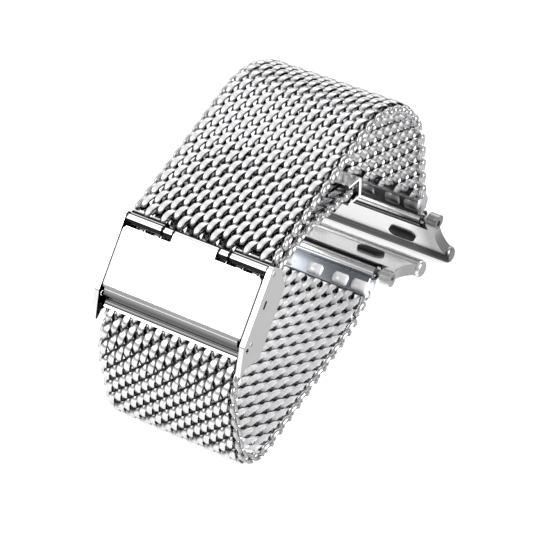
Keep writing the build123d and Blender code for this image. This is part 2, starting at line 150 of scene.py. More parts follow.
def spread(nodes, links, value, low, high, fromLow=0.3, fromHigh=0.7):
    # Noise lies mostly between 0.3 and 0.7
    ranged = nodes.new("ShaderNodeMapRange")
    ranged.inputs["From Min"].default_value = fromLow
    ranged.inputs["From Max"].default_value = fromHigh
    ranged.inputs["To Min"].default_value = low
    ranged.inputs["To Max"].default_value = high
    links.new(value, ranged.inputs["Value"])
    return ranged.outputs["Result"]


def combined(nodes, links, operation, *values):
    worked = nodes.new("ShaderNodeMath")
    worked.operation = operation
    for value, socket in zip(values, worked.inputs):
        links.new(value, socket)
    return worked.outputs[0]


def tinted(nodes, links, value, dark, light):
    ramp = nodes.new("ShaderNodeValToRGB")
    ramp.color_ramp.elements[0].color = (*dark, 1)
    ramp.color_ramp.elements[1].color = (*light, 1)
    links.new(value, ramp.inputs["Fac"])
    return ramp.outputs["Color"]


def darkened(nodes, links, colour, *factors):
    for factor in factors:
        mixed = nodes.new("ShaderNodeMix")
        mixed.data_type = "RGBA"
        mixed.blend_type = "MULTIPLY"
        mixed.inputs["Factor"].default_value = 1
        links.new(colour, mixed.inputs["A"])
        links.new(factor, mixed.inputs["B"])
        colour = mixed.outputs["Result"]
    return colour


def dotted(nodes, links, vector, direction):
    dot = nodes.new("ShaderNodeVectorMath")
    dot.operation = "DOT_PRODUCT"
    dot.inputs[1].default_value = direction
    links.new(vector, dot.inputs[0])
    return dot.outputs["Value"]


def facing(nodes, links, direction):
    # How far a surface faces a given direction of the room
    return dotted(nodes, links, nodes.new("ShaderNodeNewGeometry").outputs["Normal"], direction)


def placeAlong(nodes, links, direction):
    # Distance along a direction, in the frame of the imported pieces
    return dotted(nodes, links, nodes.new("ShaderNodeTexCoord").outputs["Object"], direction)


def toned(nodes, links, value, stops):
    # Brightness by place, between stops of (place in mm, brightness)
    first, last = stops[0][0], stops[-1][0]
    ramp = nodes.new("ShaderNodeValToRGB")
    elements = ramp.color_ramp.elements
    while len(elements) < len(stops):
        elements.new(0.5)
    for element, (at, level) in zip(elements, stops):
        element.position = (at - first) / (last - first)
        element.color = (level, level, level, 1)
    links.new(spread(nodes, links, value, 0, 1, first * mm, last * mm), ramp.inputs["Fac"])
    return ramp.outputs["Color"]


def finishWith(nodes, links, shader, tone, cloud, polish):
    links.new(tone, shader.inputs["Base Color"])
    links.new(spread(nodes, links, cloud, *polish), shader.inputs["Roughness"])


sideAxis = (1, 0, 0)
floorAxis = (0, 0, -1)
steelLook = {
    "light": (0.93, 0.93, 0.935),
    "shade": (0.84, 0.84, 0.85),
    "smear": 140.0,                  # how fine the clouds of wear are
    "polish": (0.10, 0.17),          # roughness in those clouds
    "duskFrom": (0, -0.80, -0.60),   # painted shade falls on steel facing this way, in front and below, as if the room were dark there
    "duskSpan": (0.28, 0.72),
    "dusk": 0.16,
    "grainDepth": 0.02,
    "grainFiner": 20,
    "grainDetail": 2.0,
}


# Painted shade: steel that faces the front and below is darkened in its colour, standing in for a dark side of the
# room
def paintedDuskOf(nodes, links, deepest):
    turned = facing(nodes, links, steelLook["duskFrom"])
    return spread(nodes, links, turned, 1, deepest, *steelLook["duskSpan"])


plainSteels = {
    "polishedSteel": {
        "light": steelLook["light"], "shade": steelLook["shade"], "polish": steelLook["polish"],
        "smear": steelLook["smear"]},
    "knuckleSteel": {
        "light": (0.97, 0.97, 0.975), "shade": (0.92, 0.92, 0.93), "polish": (0.2, 0.3), "smear": 200.0,
        "metallic": 0.35},
    # Painted shade: a dark copy of the knuckle steel, used on the upper fitting
    "paintedShadeSteel": {
        "light": (0.42, 0.42, 0.43), "shade": (0.24, 0.24, 0.245), "polish": (0.25, 0.38), "smear": 500.0},
    "greySteel": {
        "light": (0.42, 0.45, 0.50), "shade": (0.32, 0.34, 0.37), "polish": (0.25, 0.38), "smear": 260.0},
    "satinSteel": {
        "light": (0.80, 0.80, 0.81), "shade": (0.70, 0.70, 0.71), "polish": (0.24, 0.34), "smear": 160.0,
        "stretch": (6, 1, 1), "grain": 0.15},
    "pinSteel": {
        "light": (0.78, 0.78, 0.79), "shade": (0.66, 0.66, 0.67), "polish": (0.2, 0.32), "smear": 300.0},
}


def makeSteel(name, light, shade, polish, smear, stretch=(1, 1, 1), grain=0.0, metallic=1.0):
    finish, nodes, links, shader = newFinish(name, light, metallic, polish[0])
    cloud = wornNoise(nodes, links, smear, stretch=stretch)
    # Painted shade: darker where the steel faces the front and below
    dusk = paintedDuskOf(nodes, links, steelLook["dusk"])
    tone = darkened(nodes, links, tinted(nodes, links, cloud, shade, light), dusk)
    finishWith(nodes, links, shader, tone, cloud, polish)
    if grain:
        bump = nodes.new("ShaderNodeBump")
        bump.inputs["Strength"].default_value = grain
        bump.inputs["Distance"].default_value = steelLook["grainDepth"] * mm
        fine = wornNoise(nodes, links, smear * steelLook["grainFiner"], steelLook["grainDetail"], stretch)
        links.new(fine, bump.inputs["Height"])
        links.new(bump.outputs["Normal"], shader.inputs["Normal"])
    return finish


steels = {name: makeSteel(name, **look) for name, look in plainSteels.items()}

wireLook = {
    "light": (0.81, 0.81, 0.815),
    # colour of the wire in full painted shade
    "paintedShadeColour": (0.012, 0.012, 0.013),
    "depthSpan": (0.45, 0.78),       # of the painted light and shade written on each point
    "polish": (0.20, 0.30),
    "cloud": 900.0,
    "cloudDetail": 2.0,
    "dusk": 0.85,
    "fillMetal": 0.20,               # where soft light fills the inside, it looks less like metal
}


def makeWovenSteel():
    # Painted shade: the wire's colour darkens towards the middle of the band, where light hardly reaches, and
    # painted light lightens its inner side
    finish, nodes, links, shader = newFinish("wovenSteel", wireLook["light"], 1.0, wireLook["polish"][0])
    depth = nodes.new("ShaderNodeAttribute")
    depth.attribute_name = "paintedWireLight"
    lit = spread(nodes, links, depth.outputs["Fac"], 0, 1, *wireLook["depthSpan"])
    tone = darkened(
        nodes, links, tinted(nodes, links, lit, wireLook["paintedShadeColour"], wireLook["light"]),
        paintedDuskOf(nodes, links, wireLook["dusk"]))
    fill = nodes.new("ShaderNodeAttribute")
    fill.attribute_name = "innerFill"
    metallic = spread(nodes, links, fill.outputs["Fac"], 1, wireLook["fillMetal"], 0, 1)
    links.new(metallic, shader.inputs["Metallic"])
    cloud = wornNoise(nodes, links, wireLook["cloud"], wireLook["cloudDetail"])
    finishWith(nodes, links, shader, tone, cloud, wireLook["polish"])
    return finish


wovenSteel = makeWovenSteel()

claspLook = {
    "cover": {"light": steelLook["light"], "shade": steelLook["shade"], "dusk": 1.0},
    "channel": {"light": (0.86, 0.86, 0.865), "shade": (0.78, 0.78, 0.785), "dusk": 0.9},
    "roughness": 0.12,
    "gap": (9.5, 10.4),              # places are in mm from the middle of the band
    "gapEdge": 0.02,
    "gapFlank": (0.6, 0.8),
    "gapPaintedShadow": 0.02,
    "rim": (9.72, 9.80),
    "rimPaintedShade": 0.08,
    "wallFlank": (0.5, 0.8),
    "wallPaintedShade": 0.44,
    "rollAxis": (0, -0.7431, -0.6691),
    "rollPaintedShade": (
        (0.22, 1), (0.32, 0.85), (0.36, 0.30), (0.42, 0.22), (0.50, 0.26), (0.70, 0.17), (0.95, 0.09),
        (1.25, 0.11), (1.50, 0.18), (1.80, 0.12), (1.90, 0.02), (2.02, 0.03), (2.08, 1)),
    "rearAxis": (0, 0.983, 0.186),
    "rearSpan": (0.15, 0.35),
    "rearPaintedShadow": 0.03,
    "rearPlace": (-8.4, -8.2),       # along the roll axis
}


def spanInMetres(name):
    return [place * mm for place in claspLook[name]]


def makeClaspSteel(piece):
    # Polished, with painted full shadow in the narrow gap beside the cover
    look = claspLook[piece]
    finish, nodes, links, shader = newFinish(piece + "Steel", look["light"], 1.0, claspLook["roughness"])
    cloud = wornNoise(nodes, links, steelLook["smear"])
    across = combined(nodes, links, "ABSOLUTE", placeAlong(nodes, links, sideAxis))
    sideways = combined(nodes, links, "ABSOLUTE", facing(nodes, links, sideAxis))
    # Painted shadow: faces turned sideways in the gap between cover and wall are darkened nearly to black
    start, end = spanInMetres("gap")
    edge = claspLook["gapEdge"] * mm
    inGap = combined(
        nodes, links, "MULTIPLY", spread(nodes, links, across, 0, 1, start, start + edge),
        spread(nodes, links, across, 1, 0, end - edge, end))
    inGap = combined(
        nodes, links, "MULTIPLY", inGap, spread(nodes, links, sideways, 0, 1, *claspLook["gapFlank"]))
    shades = [paintedDuskOf(nodes, links, look["dusk"]), spread(nodes, links, inGap, 1, claspLook["gapPaintedShadow"], 0, 1)]
    if piece == "cover":
        # Painted shade: a thin dark strip along the cover's edge, where it meets the wall
        shades.append(spread(nodes, links, across, 1, claspLook["rimPaintedShade"], *spanInMetres("rim")))
        # Painted shade down the rolled end of the cover: grey, then dark, a little lighter near the bottom, a black
        # line, and full brightness again at the lip
        roll = placeAlong(nodes, links, claspLook["rollAxis"])
        shades.append(toned(nodes, links, roll, claspLook["rollPaintedShade"]))
        # Painted shadow: near the hinge end, faces of the cover turned to the back are darkened nearly to black
        turned = facing(nodes, links, claspLook["rearAxis"])
        shades.append(combined(
            nodes, links, "MAXIMUM", spread(nodes, links, turned, 1, claspLook["rearPaintedShadow"], *claspLook["rearSpan"]),
            spread(nodes, links, roll, 0, 1, *spanInMetres("rearPlace"))))
    else:
        # Painted reflection: the wall's faces turned to either side are darkened, as if they mirrored something
        # dark
        shades.append(spread(nodes, links, sideways, 1, claspLook["wallPaintedShade"], *claspLook["wallFlank"]))
    tone = darkened(nodes, links, tinted(nodes, links, cloud, look["shade"], look["light"]), *shades)
    finishWith(nodes, links, shader, tone, cloud, steelLook["polish"])
    return finish


tubeLook = {
    "hingeRoughness": 0.12,
    "endRoughness": 0.14,
    "hingePaintedShade": 0.02,
    "endTone": 0.01,
    # painted shade on faces turned to the back, to the front and up, and to either side
    "flanks": (((0, 0.983, 0.186), 0.15, 0.35), ((0, -0.95, 0.30), 0.86, 0.95), (sideAxis, 0.5, 0.8)),
    "webAxis": (0, 0.9826, 0.1857),
    "webPaintedShadow": ((-6.95, 1), (-6.88, 0.02), (-6.62, 0.02), (-6.5, 0.9)),
    "collarPaintedShadow": (
        (3.20, 0.03), (3.38, 0.03), (3.42, 1), (4.50, 1), (4.55, 0.03), (4.92, 0.03), (4.97, 1)),
    # Painted shade: an end tube stays bright only where it faces away from this direction
    "upperEnd": ((0, 0.277, -0.961), -0.50, -0.35),
    "lowerEnd": ((0, 0.857, -0.515), -0.80, -0.62),
}


def makeTubeSteel(name, roughness, flanks, flankPaintedShade, withCollars=False):
    # A bright tube in narrow gaps, with painted shade on its flanks, which would mirror only the dark of the gaps
    finish, nodes, links, shader = newFinish(name, steelLook["light"], 1.0, roughness)
    cloud = wornNoise(nodes, links, steelLook["smear"])
    shades = [
        spread(nodes, links, facing(nodes, links, direction), 1, flankPaintedShade, start, end)
        for direction, start, end in flanks]
    if withCollars:
        # Painted shadow: a dark band between the tube and the mesh, and dark gaps beside the collars
        shades.append(toned(nodes, links, placeAlong(nodes, links, tubeLook["webAxis"]), tubeLook["webPaintedShadow"]))
        across = combined(nodes, links, "ABSOLUTE", placeAlong(nodes, links, sideAxis))
        shades.append(toned(nodes, links, across, tubeLook["collarPaintedShadow"]))
    tone = tinted(nodes, links, cloud, steelLook["shade"], steelLook["light"])
    finishWith(nodes, links, shader, darkened(nodes, links, tone, *shades), cloud, steelLook["polish"])
    return finish


hingeSteel = makeTubeSteel(
    "tubeSteel", tubeLook["hingeRoughness"], tubeLook["flanks"], tubeLook["hingePaintedShade"], withCollars=True)
endSteels = {
    half: makeTubeSteel(
        half + "EndSteel", tubeLook["endRoughness"], (tubeLook[half + "End"],), tubeLook["endTone"])
    for half in ("upper", "lower")}
claspSteels = {piece: makeClaspSteel(piece) for piece in ("cover", "channel")}

adapterLook = {
    "colour": (0.94, 0.94, 0.94),
    "light": (0.98, 0.98, 0.98),
    "shade": (0.90, 0.90, 0.905),
    "metallic": 0.85,
    "roughness": 0.24,
    "smear": 160.0,
    "polish": (0.18, 0.26),
    "frontSpan": (0.1, 0.5),
    "downSpan": (0.30, 0.56),
    "downPaintedShade": 0.05,
    "sideSpan": (0.5, 0.9),
    "sidePaintedShade": 0.30,
    "upper": {
        "axis": (0, 0.2773, -0.9608), "front": (0, -0.9608, -0.2773),
        "beadPaintedShade": ((2.9, 1), (3.6, 0.8), (3.95, 0.25), (4.4, 0.10), (5.3, 0.12)),
        "sideEndPaintedShade": ((7.5, 1), (10.2, 0.42))},
    "lower": {
        "axis": (0, 0.8572, -0.5150), "front": (0, 0.515, 0.8572),
        "beadPaintedShade": ((11.0, 1), (11.3, 0.25), (11.9, 0.2)),
        "sideEndPaintedShade": ((7.5, 1), (12.5, 0.9))},
}


def makeAdapterSteel(half):
    # Milled and lightly blasted, with painted shade at its bead and where it turns down to the floor
    look = adapterLook[half]
    finish, nodes, links, shader = newFinish(
        half + "AdapterSteel", adapterLook["colour"], adapterLook["metallic"], adapterLook["roughness"])
    cloud = wornNoise(nodes, links, adapterLook["smear"])
    # Painted shade: darker towards the bead, towards the end on the +x side, and on faces turned down or to the +x
    # side
    bead = combined(
        nodes, links, "MAXIMUM", toned(nodes, links, placeAlong(nodes, links, look["axis"]), look["beadPaintedShade"]),
        spread(nodes, links, facing(nodes, links, look["front"]), 1, 0, *adapterLook["frontSpan"]))
    end = toned(nodes, links, placeAlong(nodes, links, sideAxis), look["sideEndPaintedShade"])
    down = facing(nodes, links, floorAxis)
    side = facing(nodes, links, sideAxis)
    tone = darkened(
        nodes, links, tinted(nodes, links, cloud, adapterLook["shade"], adapterLook["light"]), bead, end,
        spread(nodes, links, down, 1, adapterLook["downPaintedShade"], *adapterLook["downSpan"]),
        spread(nodes, links, side, 1, adapterLook["sidePaintedShade"], *adapterLook["sideSpan"]))
    finishWith(nodes, links, shader, tone, cloud, adapterLook["polish"])
    return finish


adapterSteels = {half: makeAdapterSteel(half) for half in ("upper", "lower")}

rubberLook = {
    "colour": (0.012, 0.012, 0.013),
    "light": (0.02, 0.02, 0.021),
    "shade": (0.008, 0.008, 0.009),
    "roughness": 0.55,
    "gloss": 0.1,
    "smear": 700.0,
    "polish": (0.45, 0.65),
}


def makeBlackPad():
    finish, nodes, links, shader = newFinish("blackPad", rubberLook["colour"], 0.0, rubberLook["roughness"])
    shader.inputs["Specular IOR Level"].default_value = rubberLook["gloss"]
    cloud = wornNoise(nodes, links, rubberLook["smear"])
    tone = tinted(nodes, links, cloud, rubberLook["shade"], rubberLook["light"])
    finishWith(nodes, links, shader, tone, cloud, rubberLook["polish"])
    return finish


blackPad = makeBlackPad()
print("finishes made")

# Middle line of each half, as (y, z, heading, length, bend) in mm and degrees
loopLines = {
    "upper": [
        (-12.6938, 26.9124, 10.7, 21.0494, 0.0),
        (7.9896, 30.8205, 10.7, 20.3889, -0.09091),
        (20.9813, 18.9575, -95.5, 10.7472, 0.0),
    ],
    "lower": [
        (6.7636, 24.0801, 168.7, 8.2843, 0.0),
        (-1.3601, 25.7034, 168.7, 5.7596, 0.06667),
        (-7.0843, 25.7334, -169.3, 3.3637, 0.0),
        (-10.3895, 25.1088, -169.3, 2.1852, 0.25),
        (-12.3233, 24.151, -138.0, 9.6657, 0.0),
        (-19.5064, 17.6833, -138.0, 6.7021, 0.125),
        (-22.1533, 11.7382, -90.0, 5.7382, 0.0),
        (-22.1533, 6.0, -90.0, 8.6045, 0.2),
        (-16.4057, 1.0562, 8.6, 16.8612, 0.0),
        (0.266, 3.5776, 8.6, 6.1156, 0.08333),
        (5.8264, 5.9608, 37.8, 3.7742, 0.0),
    ],
}


def along(half, run):
    # Point and heading at a distance along the middle line
    for stretch in loopLines[half]:
        y, z, heading, length, bend = stretch
        if run > length and stretch is not loopLines[half][-1]:
            run -= length
            continue
        angle = math.radians(heading)
        if bend == 0:
            return y + run * math.cos(angle), z + run * math.sin(angle), heading
        here = angle + run * bend
        centreY = y - math.sin(angle) / bend
        centreZ = z + math.cos(angle) / bend
        return centreY + math.sin(here) / bend, centreZ - math.cos(here) / bend, math.degrees(here)


def rowPlace(half, run):
    # Rows lie with their outer face outwards on both halves
    y, z, heading = along(half, run)
    if half == "lower":
        heading += 180
    return Matrix.Translation((0, y * mm, z * mm)) @ Matrix.Rotation(math.radians(heading), 4, "X")


# Woven halves: flat spirals of wire, each wound through the next. Sizes are in mm
weave = {
    "wire": 0.36,            # radius of the wire
    "pitch": 2.34,           # along one spiral
    "reach": 1.05,           # of a spiral towards its neighbours
    "rise": 0.80,            # of a spiral towards the two faces
    "pressed": 0.94,         # the faces of the band are rolled flat here
    "widen": 1.24,           # the screw cuts the wire at a slant, so its outline starts wider
    "innerLight": 0.84,      # painted light on the wire from the open side of the loop
    "innerBared": {"upper": 0.45, "lower": 0.55},  # how much of it falls on a wire's flanks
    "innerTurn": 2,          # how fast it fades where the wire turns away
    "innerFade": 3.2,        # and through the thickness of the band
    "innerFill": {"upper": 0, "lower": 1},  # soft light gathered on the inside of the lower half
    "bared": {"upper": 0.85, "lower": 0.36},  # how much of a wire's flanks still counts as outside
    "slant": -0.12,          # the outer runs of wire stand steeper than the inner ones
    "steps": 10,
    "sides": 6,
    "turns": 10,
    "endInset": 0.62,        # the spirals stop short of the edge, inside the tied loops
    "smoothWithin": 60,
}


def makeSpiral():
    deselectAll()
    size = weave["wire"] * mm
    start = weave["turns"] * weave["pitch"] / 2 * mm
    bpy.ops.mesh.primitive_circle_add(
        vertices=weave["sides"], radius=size, location=(start, weave["reach"] * mm, 0))
    spiral = bpy.context.object
    spiral.scale.x = weave["widen"]
    placeInMesh(spiral)
    screw = spiral.modifiers.new("winding", "SCREW")
    screw.axis = "X"
    screw.angle = math.tau
    screw.screw_offset = -weave["pitch"] * mm
    screw.iterations = weave["turns"]
    screw.steps = weave["steps"]
    screw.render_steps = weave["steps"]
    screw.use_merge_vertices = True
    applyModifiers(spiral)
    flatter = weave["rise"] / weave["reach"]
    startEditing(spiral)
    bpy.ops.mesh.select_all(action="SELECT")
    bpy.ops.transform.resize(value=(1, 1, flatter), center_override=(0, 0, 0))
    for side in (1, -1):
        level = side * weave["pressed"] * mm
        pickVertices(spiral, lambda co: co.z * side > level * side)
        bpy.ops.transform.resize(value=(1, 1, 0), center_override=(0, 0, level))
    stopEditing()
    slanted = Matrix.Identity(4)
    slanted[0][1] = weave["slant"]
    spiral.data.transform(slanted)
    return spiral


def markPaintedLight(piece, half):
    # Painted light and shade for each point of the wire: how far out it lies, but nothing for the side of it that
    # faces inwards, and painted light on the inner side of the band
    values = []
    filled = []
    bared, innerBared = weave["bared"][half], weave["innerBared"][half]
    for vertex in piece.data.vertices:
        height = vertex.co.z / mm
        outwards = vertex.normal.z if height > 0 else -vertex.normal.z
        value = abs(height) * min(1, max(0, bared + outwards))
        turned = weave["innerTurn"] * vertex.normal.z
        inner = min(1, max(0, innerBared - turned - weave["innerFade"] * height))
        values.append(max(value, weave["innerLight"] * inner))
        filled.append(inner * weave["innerFill"][half])
    depth = piece.data.attributes.new("paintedWireLight", "FLOAT", "POINT")
    depth.data.foreach_set("value", values)
    fill = piece.data.attributes.new("innerFill", "FLOAT", "POINT")
    fill.data.foreach_set("value", filled)


def trimRow(spiral, half, shift):
    row = copyOf(spiral, Matrix.Translation((shift * mm, 0, 0)))
    startEditing(row)
    for side in (1, -1):
        bpy.ops.mesh.select_all(action="SELECT")
        edge = side * (halfWidths[half] - weave["endInset"]) * mm
        bpy.ops.mesh.bisect(
            plane_co=(edge, 0, 0), plane_no=(side, 0, 0), use_fill=True, clear_outer=True)
    stopEditing()
    faceOutwards(row)
    markPaintedLight(row, half)
    return row


edgeLoop = {
    "wire": 0.29,
    "sides": 6,
    "length": 2.3,
    "height": 1.32,
    "lean": 9.0,
    "steps": 5,              # in each half turn
    "every": 2,              # one loop for so many rows
    "light": 0.76,
    "sideLight": 0.56,       # painted half shade on the outermost flank of each loop
    "sideTurn": 2,
    "sideStart": 0.6,
}


def makeEdgeLoop(side, halfWidth):
    # A long closed loop of wire that ties two spirals together at the edge
    deselectAll()
    turn = (edgeLoop["height"] / 2 - edgeLoop["wire"]) * mm
    straight = edgeLoop["length"] / 2 * mm - edgeLoop["wire"] * mm - turn
    bpy.ops.mesh.primitive_circle_add(
        vertices=edgeLoop["sides"], radius=edgeLoop["wire"] * mm, location=(0, 0, turn))
    loop = bpy.context.object
    placeInMesh(loop)
    startEditing(loop)
    bpy.ops.mesh.select_all(action="SELECT")
    bpy.ops.transform.rotate(value=math.pi / 2, orient_axis="Y", center_override=(0, 0, turn))
    bpy.ops.transform.rotate(value=math.pi / 2, orient_axis="Z", center_override=(0, 0, turn))
    bpy.ops.mesh.spin(steps=edgeLoop["steps"] * 2, angle=math.tau, center=(0, 0, 0), axis=(1, 0, 0))
    bpy.ops.mesh.select_all(action="SELECT")
    bpy.ops.mesh.remove_doubles(threshold=mergeWithin)
    for end in (1, -1):
        pickVertices(loop, lambda co: co.y * end > nearly)
        bpy.ops.transform.translate(value=(0, end * straight, 0))
    stopEditing()
    lean = Matrix.Rotation(math.radians(edgeLoop["lean"] * side), 4, "Z")
    loop.data.transform(lean)
    loop.data.transform(Matrix.Translation((side * (halfWidth - edgeLoop["wire"]) * mm, 0, 0)))
    faceOutwards(loop)
    # Painted light and shade: a set lightness for each loop, lower on its outermost flank
    depth = loop.data.attributes.new("paintedWireLight", "FLOAT", "POINT")
    values = []
    for vertex in loop.data.vertices:
        shaded = min(1, max(0, edgeLoop["sideTurn"] * side * vertex.normal.x - edgeLoop["sideStart"]))
        values.append(edgeLoop["light"] + (edgeLoop["sideLight"] - edgeLoop["light"]) * shaded)
    depth.data.foreach_set("value", values)
    return loop


# Half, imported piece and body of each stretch, its first row (mm along the band), rows, and mm between them
wovenRuns = {
    "wovenUpperFront": ("upper", "upper_mesh_front", "upper_front", 1.88, 10, 1.055),
    "wovenUpperBend": ("upper", "upper_mesh_bend", "upper_bend", 12.55, 25, 1.039),
    "wovenUpperBack": ("upper", "upper_mesh_back", "upper_back", 38.52, 11, 1.0),
    "wovenLowerFront": ("lower", "lower_mesh_front", "long_half", 1.52, 58, 1.035),
    "wovenLowerMiddle": ("lower", "lower_mesh_middle", "lower_middle", 61.5, 9, 1.0),
    "wovenLowerBack": ("lower", "lower_mesh_back", "lower_back", 70.5, 4, 1.0),
}
halfWidths = {"upper": 10.0, "lower": 9.8}


def makeWoven():
    spiral = makeSpiral()
    for half, halfWidth in halfWidths.items():
        rows = [trimRow(spiral, half, shift) for shift in (0, weave["pitch"] / 2)]
        loops = [makeEdgeLoop(side, halfWidth) for side in (1, -1)]
        number = 0
        for name, (owner, node, body, first, count, gap) in wovenRuns.items():
            if owner != half:
                continue
            parts = []
            for index in range(count):
                run = first + index * gap
                parts.append(copyOf(rows[number % 2], rowPlace(half, run)))
                if number % edgeLoop["every"] == 0:
                    middle = rowPlace(half, run + gap / 2 * (1 if index < count - 1 else 0))
                    parts.extend(copyOf(loop, middle) for loop in loops)
                number += 1
            woven = joinAs(name, parts)
            smooth(woven, weave["smoothWithin"])
            woven.data.materials.clear()
            woven.data.materials.append(wovenSteel)
            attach(woven, body)
            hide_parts(node)
            print(name, len(woven.data.polygons), "faces")
        for spare in rows + loops:
            remove(spare)
    remove(spiral)


makeWoven()
print("woven halves made")


def seated(bar, heading, up):
    # Frame of a piece on a bar, y along the heading and z to the side that is up
    angle = math.radians(heading)
    turn = Matrix.Identity(4)
    turn[0][0] = up
    turn[1][1], turn[2][1] = math.cos(angle), math.sin(angle)
    turn[1][2], turn[2][2] = -up * math.sin(angle), up * math.cos(angle)
    return Matrix.Translation((0, bar[0] * mm, bar[1] * mm)) @ turn


# Bar axis (y, z) and heading of each adapter, and the side of it that faces the wrist
adapterSeats = {
    "upper": ((19.9512, 8.2598), -73.9, -1),
    "lower": ((8.8087, 8.2740), -31.0, 1),
}

padSize = {
    "length": 3.8,
    "width": 1.9,
    "place": 6.0,            # to either side of the middle
    "centre": 4.6,           # from the bar axis
    "foot": 0.0,
    "top": 1.05,
    "rim": 0.12,
    "corners": 24,
    "smoothWithin": 40,
}


def makePad():
    # Rubber cushion with round ends and a softened rim
    deselectAll()
    radius = padSize["width"] / 2
    height = padSize["top"] - padSize["foot"]
    bpy.ops.mesh.primitive_cylinder_add(
        vertices=padSize["corners"], radius=radius * mm, depth=height * mm,
        location=(0, 0, (padSize["foot"] + padSize["top"]) / 2 * mm))
    pad = bpy.context.object
    placeInMesh(pad)
    startEditing(pad)
    stretch = (padSize["length"] / 2 - radius) * mm
    for end in (1, -1):
        pickVertices(pad, lambda co: co.x * end > nearly)
        bpy.ops.transform.translate(value=(end * stretch, 0, 0))
    pickVertices(pad, lambda co: co.z > padSize["top"] * mm - nearly)
    bpy.ops.mesh.select_mode(type="FACE")
    bpy.ops.mesh.inset(thickness=padSize["rim"] * mm)
    bpy.ops.transform.translate(value=(0, 0, padSize["rim"] / 2 * mm))
    bpy.ops.mesh.select_mode(type="VERT")
    stopEditing()
    faceOutwards(pad)
    return pad


def makePads():
    pad = makePad()
    for half, (bar, heading, up) in adapterSeats.items():
        for side, shift in (("right", 1), ("left", -1)):
            place = seated(bar, heading, up) @ Matrix.Translation(
                (up * shift * padSize["place"] * mm, padSize["centre"] * mm, 0))
            cushion = copyOf(pad, place)
            cushion.name = half + side.capitalize() + "Pad"
            smooth(cushion, padSize["smoothWithin"])
            cushion.data.materials.clear()
            cushion.data.materials.append(blackPad)
            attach(cushion, half + "_adapter")
            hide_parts(half + "_pad_" + side)
    remove(pad)


makePads()

# Six barrels on a plain foot. A seat is a bar axis (y, z) and the heading of the mesh there
knuckles = {
    "seats": {"lower": ((8.8087, 8.2740), 217.8), "upper": ((19.9512, 8.2598), 84.5)},
    "places": (-8.7, -5.9, -2.1, 2.1, 5.9, 8.7),
    "width": 2.2,
    "middle": 2.40,          # from the bar axis
    "reach": 1.18,
    "rise": 1.38,
    "rim": 0.22,
    "corners": 20,
    "baseStart": 0.95,
    "baseEnd": 3.45,
    "baseRise": 1.06,
    "baseHalf": 9.75,
    "baseRim": 0.25,
    "baseRimSteps": 3,
    "smoothWithin": 50,
    # the upper knuckles and foot take the dark copy of the steel, which is painted shade
    "finish": {"lower": "knuckleSteel", "upper": "paintedShadeSteel"},
    "baseFinish": {"lower": "greySteel", "upper": "paintedShadeSteel"},
}


def makeKnuckle():
    # Round barrel that clasps the end of the mesh
    deselectAll()
    bpy.ops.mesh.primitive_cylinder_add(
        vertices=knuckles["corners"], radius=knuckles["rise"] * mm, depth=knuckles["width"] * mm)
    knuckle = bpy.context.object
    placeInMesh(knuckle)
    startEditing(knuckle)
    bpy.ops.mesh.select_all(action="SELECT")
    bpy.ops.transform.rotate(value=math.pi / 2, orient_axis="Y", center_override=(0, 0, 0))
    bpy.ops.transform.resize(value=(1, knuckles["reach"] / knuckles["rise"], 1), center_override=(0, 0, 0))
    for end in (1, -1):
        level = knuckles["width"] / 2 * mm - nearly
        bpy.ops.mesh.select_mode(type="VERT")
        pickVertices(knuckle, lambda co: co.x * end > level)
        bpy.ops.mesh.select_mode(type="FACE")
        bpy.ops.transform.translate(value=(-end * knuckles["rim"] * mm, 0, 0))
        bpy.ops.mesh.inset(thickness=knuckles["rim"] * mm)
        bpy.ops.transform.translate(value=(end * knuckles["rim"] * mm, 0, 0))
    bpy.ops.mesh.select_mode(type="VERT")
    stopEditing()
    faceOutwards(knuckle)
    return knuckle


def makeKnuckleBase():
    deselectAll()
    start, end, rise = knuckles["baseStart"] * mm, knuckles["baseEnd"] * mm, knuckles["baseRise"] * mm
    bpy.ops.mesh.primitive_cube_add(size=1, location=(0, (start + end) / 2, 0))
    base = bpy.context.object
    base.scale = (2 * knuckles["baseHalf"] * mm, end - start, 2 * rise)
    placeInMesh(base)
    startEditing(base)
    bpy.ops.mesh.select_all(action="SELECT")
    bpy.ops.mesh.bevel(offset=knuckles["baseRim"] * mm, segments=knuckles["baseRimSteps"], affect="EDGES")
    stopEditing()
    faceOutwards(base)
    return base


def makeFittings():
    knuckle = makeKnuckle()
    base = makeKnuckleBase()
    for half, (bar, heading) in knuckles["seats"].items():
        place = seated(bar, heading, -1)
        parts = []
        for shift in knuckles["places"]:
            barrel = copyOf(knuckle, place @ Matrix.Translation((shift * mm, knuckles["middle"] * mm, 0)))
            barrel.data.materials.clear()
            barrel.data.materials.append(steels[knuckles["finish"][half]])
            parts.append(barrel)
        seat = copyOf(base, place)
        seat.data.materials.clear()
        seat.data.materials.append(steels[knuckles["baseFinish"][half]])
        parts.append(seat)
        fitting = joinAs(half + "EndFitting", parts)
        smooth(fitting, knuckles["smoothWithin"])
        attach(fitting, half + "_back")
        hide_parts(half + "_end_clamp")
    remove(knuckle)
    remove(base)


makeFittings()
print("pads and end fittings made")

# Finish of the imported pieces, by their whole name or else by a word in it
finishOfNode = {
    "clasp_cover": claspSteels["cover"],
    "clasp_base": claspSteels["channel"],
    "hinge_collars": hingeSteel,
    "hinge_tube_left": hingeSteel,
    "hinge_tube_right": hingeSteel,
    "lock_gate": steels["satinSteel"],
    "upper_end_tube": endSteels["upper"],
    "lower_end_tube": endSteels["lower"],
}
finishOfWord = {
    "pad": blackPad,
    "upper_adapter": adapterSteels["upper"],
    "lower_adapter": adapterSteels["lower"],
    "pin": steels["pinSteel"],
    "spring": steels["pinSteel"],
    "tip": steels["pinSteel"],
    "bar_tube": steels["pinSteel"],
}


